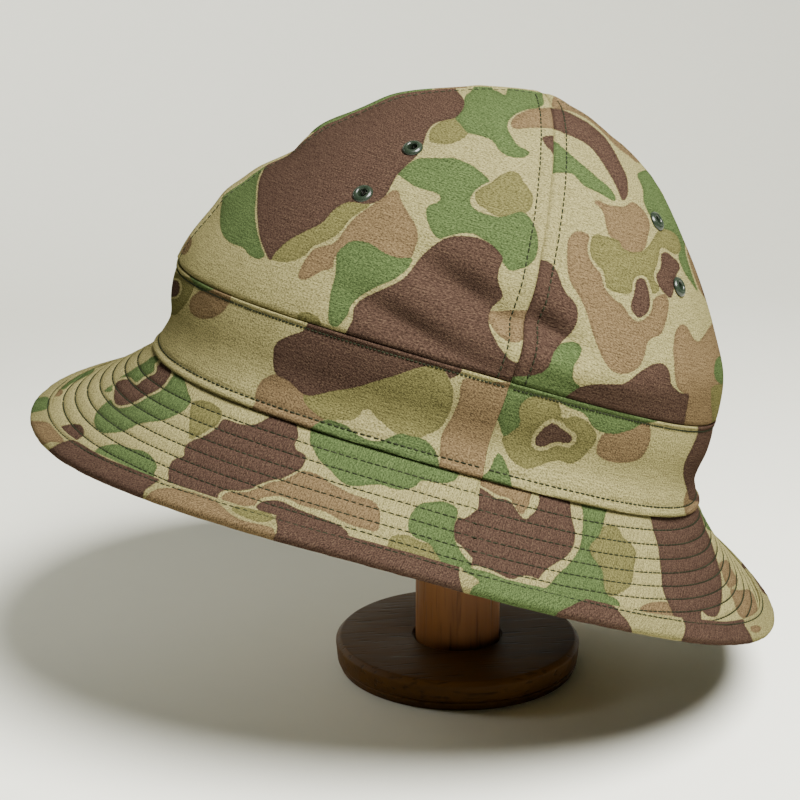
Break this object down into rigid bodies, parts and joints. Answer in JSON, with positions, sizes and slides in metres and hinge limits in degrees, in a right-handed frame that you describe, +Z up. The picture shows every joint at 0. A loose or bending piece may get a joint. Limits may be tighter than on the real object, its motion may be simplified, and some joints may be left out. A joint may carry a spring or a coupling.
{
  "type": "safari hat on a wooden stand",
  "caption": "Soft cotton safari hat with a panelled dome, a wide band, a stitched sloping brim and metal vent eyelets, tipped back on a plain round wooden display stand.",
  "frame": {"origin": "centre of the stand's round underside, on the surface that it stands on", "axes": "+Z up along the stand's post, -Y towards the hat's front, +X towards the wearer's left"},
  "size_m": [0.2712, 0.2653, 0.212],
  "materials": {
    "crown_cotton": "spotted camouflage cotton drill, matt",
    "band_cotton": "spotted camouflage cotton drill, matt",
    "brim_cotton": "spotted camouflage cotton drill with sewn rows, matt",
    "binding_cotton": "spotted camouflage cotton drill, folded over the edge",
    "eyelet_enamel": "dark green enamel, slightly worn",
    "dark_stained_wood": "dark stained, turned, satin",
    "honey_wood": "honey stained, turned, satin",
    "plain_wood": "bare turned wood"
  },
  "bodies": {
    "root": {"crown_gore_front_left": "crown_cotton", "crown_gore_back_left": "crown_cotton", "crown_gore_back_right": "crown_cotton", "crown_gore_front_right": "crown_cotton", "hat_band": "band_cotton", "brim_front": "brim_cotton", "brim_back": "brim_cotton", "brim_binding": "binding_cotton", "eyelet_front_left_upper": "eyelet_enamel", "eyelet_front_left_lower": "eyelet_enamel", "eyelet_back_left_upper": "eyelet_enamel", "eyelet_back_left_lower": "eyelet_enamel", "eyelet_back_right_upper": "eyelet_enamel", "eyelet_back_right_lower": "eyelet_enamel", "eyelet_front_right_upper": "eyelet_enamel", "eyelet_front_right_lower": "eyelet_enamel", "stand_base": "dark_stained_wood", "stand_post": "honey_wood", "stand_head": "plain_wood"}
  },
  "joints": []
}
